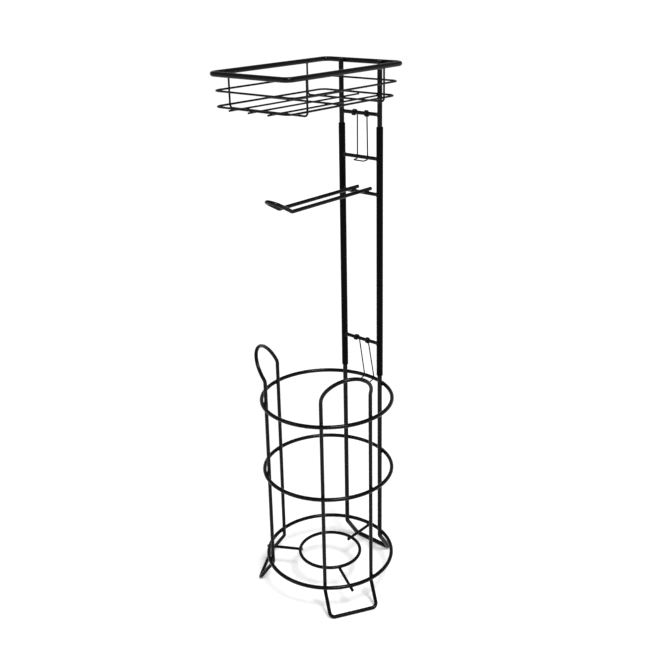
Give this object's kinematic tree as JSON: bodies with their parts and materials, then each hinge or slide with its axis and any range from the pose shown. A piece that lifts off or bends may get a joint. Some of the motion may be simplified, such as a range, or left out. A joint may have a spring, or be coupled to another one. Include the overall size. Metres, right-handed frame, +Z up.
{
  "type": "toilet roll storage holder",
  "caption": "Freestanding wire toilet roll holder with a round storage basket, a post with a roll arm and a shelf tray, locked together by wire latches.",
  "frame": {"origin": "on the basket's axis, on the floor", "axes": "+Z up along the basket's axis, -Y to the front, where the roll arm and the tray point, +X to the right seen from the front"},
  "size_m": [0.1846, 0.2057, 0.6548],
  "materials": {
    "coated_wire": "satin black powder coat on steel wire",
    "coated_tube": "satin black powder coat on steel tube",
    "latch_wire": "thin black coat on spring wire"
  },
  "bodies": {
    "frame": {"basket_top_ring": "coated_wire", "basket_middle_ring": "coated_wire", "basket_bottom_ring": "coated_wire", "support_ring": "coated_wire", "left_spoke": "coated_wire", "right_spoke": "coated_wire", "rear_spoke": "coated_wire", "left_leg_loop": "coated_wire", "right_leg_loop": "coated_wire", "rear_leg_frame": "coated_wire", "left_tube": "coated_tube", "right_tube": "coated_tube", "lower_crossbar": "coated_wire", "upper_crossbar": "coated_wire", "arm_crossbar": "coated_wire", "roll_arm": "coated_wire", "left_riser": "coated_wire", "right_riser": "coated_wire", "riser_crossbar": "coated_wire", "tray_rim": "coated_wire", "tray_middle_wire": "coated_wire", "tray_bottom_wire": "coated_wire", "tray_front_hoop": "coated_wire", "tray_rear_hoop": "coated_wire", "tray_cross_wire": "coated_wire", "tray_floor_wires": "coated_wire"},
    "upper_latch": {"upper_latch": "latch_wire"},
    "lower_latch": {"lower_latch": "latch_wire"}
  },
  "joints": [
    {"name": "upper_latch_swing", "type": "hinge", "parent": "frame", "child": "upper_latch", "pos_m": [0, 0.06922, 0.594], "axis": [1, 0, 0], "range_deg": [0, 160]},
    {"name": "lower_latch_swing", "type": "hinge", "parent": "frame", "child": "lower_latch", "pos_m": [0, 0.06922, 0.312], "axis": [1, 0, 0], "range_deg": [0, 165]}
  ]
}
